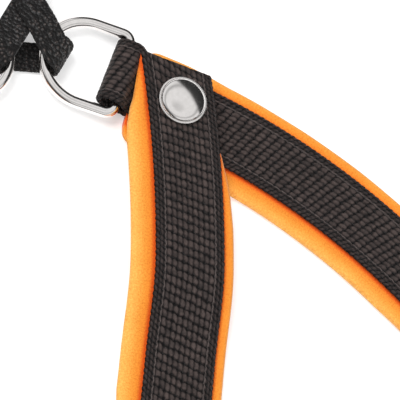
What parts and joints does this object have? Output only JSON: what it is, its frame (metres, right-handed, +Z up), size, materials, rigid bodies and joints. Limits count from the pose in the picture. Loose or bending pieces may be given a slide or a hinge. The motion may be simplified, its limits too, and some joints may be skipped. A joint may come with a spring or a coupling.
{
  "type": "no pull dog harness",
  "caption": "Dog harness with padded girth and shoulder straps riveted at the chest, D-rings and a leash control strap, lying flat and unbuckled.",
  "frame": {"origin": "centre of the outline, on the surface that the harness lies on", "axes": "+Z up from that surface, +Y towards the leash ring, X across, with the sockets on +X"},
  "size_m": [0.4214, 0.276, 0.0129],
  "materials": {
    "webbing": "woven, matt",
    "pad": "fine knit, matt",
    "knit_strap": "pebbly knit, matt",
    "thread": "sewn thread, matt",
    "chrome": "polished",
    "plastic": "moulded, satin"
  },
  "bodies": {
    "control": {"control_strap": "knit_strap", "control_stitching": "thread"},
    "leash_ring_body": {"leash_ring": "chrome"},
    "ring_right": {"d_ring_right": "chrome"},
    "girth_right": {"girth_pad_right": "pad", "girth_webbing_right": "webbing", "rivet_cap_right": "chrome", "rivet_base_right": "chrome", "girth_stitching_right": "thread"},
    "shoulder_right": {"shoulder_pad_right": "pad", "shoulder_webbing_right": "webbing", "shoulder_stitching_right": "thread"},
    "girth_slide_right": {"girth_slider_right": "plastic"},
    "shoulder_slide_right": {"shoulder_slider_right": "plastic"},
    "girth_socket": {"girth_buckle_socket": "plastic"},
    "shoulder_socket": {"shoulder_buckle_socket": "plastic"},
    "ring_left": {"d_ring_left": "chrome"},
    "girth_left": {"girth_pad_left": "pad", "girth_webbing_left": "webbing", "rivet_cap_left": "chrome", "rivet_base_left": "chrome", "girth_stitching_left": "thread"},
    "shoulder_left": {"shoulder_pad_left": "pad", "shoulder_webbing_left": "webbing", "shoulder_stitching_left": "thread"},
    "girth_slide_left": {"girth_slider_left": "plastic"},
    "shoulder_slide_left": {"shoulder_slider_left": "plastic"},
    "girth_plug": {"girth_buckle_plug": "plastic"},
    "shoulder_plug": {"shoulder_buckle_plug": "plastic"}
  },
  "joints": [
    {"name": "leash_ring_turn", "type": "hinge", "parent": "control", "child": "leash_ring_body", "pos_m": [0, 0.1158, 0.0054], "axis": [1, 0, 0], "range_deg": [0, 110]},
    {"name": "ring_turn_right", "type": "hinge", "parent": "control", "child": "ring_right", "pos_m": [0.0077, 0.0855, 0.0044], "axis": [-0.5, -0.866, 0], "range_deg": [0, 12]},
    {"name": "girth_fold_right", "type": "hinge", "parent": "ring_right", "child": "girth_right", "pos_m": [0.02763, 0.08058, 0.0044], "axis": [-0.2756, -0.9613, 0], "range_deg": [0, 40]},
    {"name": "rivet_swing_right", "type": "hinge", "parent": "girth_right", "child": "shoulder_right", "pos_m": [0.0435, 0.0718, 0.01], "axis": [0, 0, 1], "range_deg": [-1.5, 12]},
    {"name": "girth_adjust_right", "type": "slide", "parent": "girth_right", "child": "girth_slide_right", "axis": [0.6501, -0.7598, 0], "range_m": [-0.004, 0.012]},
    {"name": "shoulder_adjust_right", "type": "slide", "parent": "shoulder_right", "child": "shoulder_slide_right", "axis": [-0.1518, -0.9884, 0], "range_m": [-0.004, 0.01]},
    {"name": "girth_buckle_turn_right", "type": "hinge", "parent": "girth_right", "child": "girth_socket", "pos_m": [0.18264, -0.05405, 0.0036], "axis": [-0.7598, -0.6501, 0], "range_deg": [0, 60]},
    {"name": "shoulder_buckle_turn_right", "type": "hinge", "parent": "shoulder_right", "child": "shoulder_socket", "pos_m": [0.02502, -0.10681, 0.0036], "axis": [-0.9884, 0.1518, 0], "range_deg": [0, 60]},
    {"name": "ring_turn_left", "type": "hinge", "parent": "control", "child": "ring_left", "pos_m": [-0.0077, 0.0855, 0.0044], "axis": [-0.5, 0.866, 0], "range_deg": [0, 12]},
    {"name": "girth_fold_left", "type": "hinge", "parent": "ring_left", "child": "girth_left", "pos_m": [-0.02763, 0.08058, 0.0044], "axis": [-0.2756, 0.9613, 0], "range_deg": [0, 40]},
    {"name": "rivet_swing_left", "type": "hinge", "parent": "girth_left", "child": "shoulder_left", "pos_m": [-0.0435, 0.0718, 0.01], "axis": [0, 0, -1], "range_deg": [-1.5, 12]},
    {"name": "girth_adjust_left", "type": "slide", "parent": "girth_left", "child": "girth_slide_left", "axis": [-0.6501, -0.7598, 0], "range_m": [-0.004, 0.012]},
    {"name": "shoulder_adjust_left", "type": "slide", "parent": "shoulder_left", "child": "shoulder_slide_left", "axis": [0.1518, -0.9884, 0], "range_m": [-0.004, 0.01]},
    {"name": "girth_buckle_turn_left", "type": "hinge", "parent": "girth_left", "child": "girth_plug", "pos_m": [-0.18264, -0.05405, 0.0036], "axis": [-0.7598, 0.6501, 0], "range_deg": [0, 60]},
    {"name": "shoulder_buckle_turn_left", "type": "hinge", "parent": "shoulder_left", "child": "shoulder_plug", "pos_m": [-0.02502, -0.10681, 0.0036], "axis": [-0.9884, -0.1518, 0], "range_deg": [0, 60]}
  ]
}
